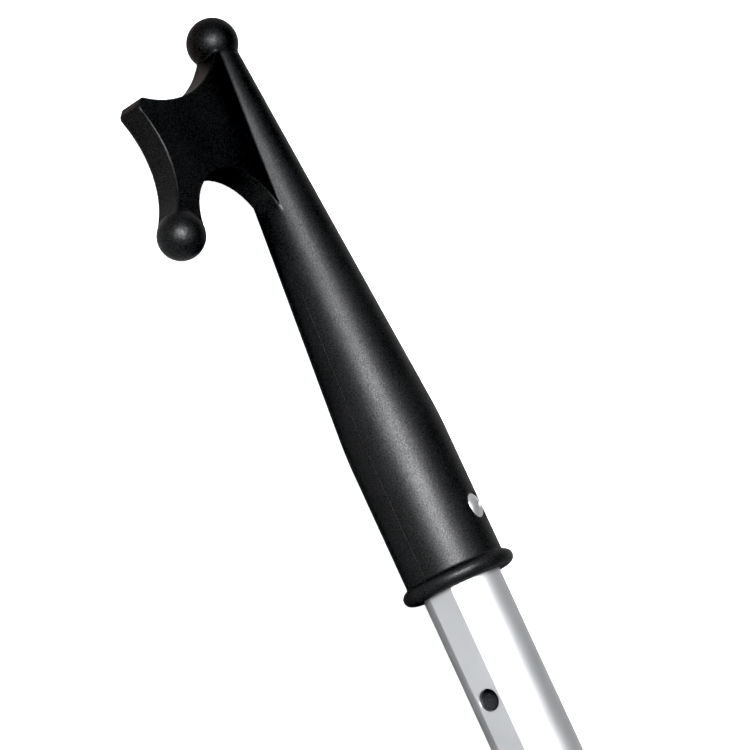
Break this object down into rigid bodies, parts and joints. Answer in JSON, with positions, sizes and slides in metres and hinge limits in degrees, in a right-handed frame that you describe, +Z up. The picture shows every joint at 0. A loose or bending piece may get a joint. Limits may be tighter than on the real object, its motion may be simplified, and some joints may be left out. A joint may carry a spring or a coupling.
{
  "type": "telescopic boat hook",
  "caption": "Telescopic boat hook: moulded hook head with ball ends on a keyed aluminium tube that slides in an outer tube and locks with a spring-loaded pin lever.",
  "frame": {"origin": "centre of the base: midway along the pole at the catalogue (second hole) length, midway across between the hook's ball and the clamp lugs, on the surface the pole lies on", "axes": "+X along the pole towards the hook head, +Y the side the hook reaches out to, +Z up, with the pole lying flat and the hook's plane level"},
  "size_m": [1.155, 0.0914, 0.0364],
  "materials": {
    "head_plastic": "matte",
    "collar_plastic": "matte",
    "lever_plastic": "satin",
    "guide_plastic": "satin",
    "inner_aluminium": "satin",
    "outer_aluminium": "satin",
    "rivet_aluminium": "satin",
    "zinc_steel": "satin",
    "stainless": "satin",
    "grip_rubber": "matte",
    "float_foam": "matte"
  },
  "bodies": {
    "outer_pole": {"outer_tube": "outer_aluminium", "lock_collar": "collar_plastic", "collar_screws": "stainless", "collar_nuts": "stainless", "lever_pivot_pin": "stainless", "pivot_clip": "zinc_steel", "lever_spring": "stainless", "rear_grip": "grip_rubber", "butt_cap": "collar_plastic", "butt_rivets": "rivet_aluminium", "butt_rivet_stems": "zinc_steel", "outer_float": "float_foam"},
    "inner_pole": {"inner_tube": "inner_aluminium", "hook_head": "head_plastic", "head_rivets": "rivet_aluminium", "head_rivet_stems": "zinc_steel", "inner_float": "float_foam", "inner_guide": "guide_plastic"},
    "lever": {"lock_lever": "lever_plastic", "lock_pin": "stainless"}
  },
  "joints": [
    {"name": "pole_slide", "type": "slide", "parent": "outer_pole", "child": "inner_pole", "axis": [1, 0, 0], "range_m": [-0.1016, 0.508]},
    {"name": "lock_lever_pivot", "type": "hinge", "parent": "outer_pole", "child": "lever", "pos_m": [0.21945, 0.00328, 0.0182], "axis": [0, 0, 1], "range_deg": [0, 9], "stiffness_Nm_per_rad": 0.5, "springref_deg": -6.88, "deforming": ["lever_spring"]}
  ]
}
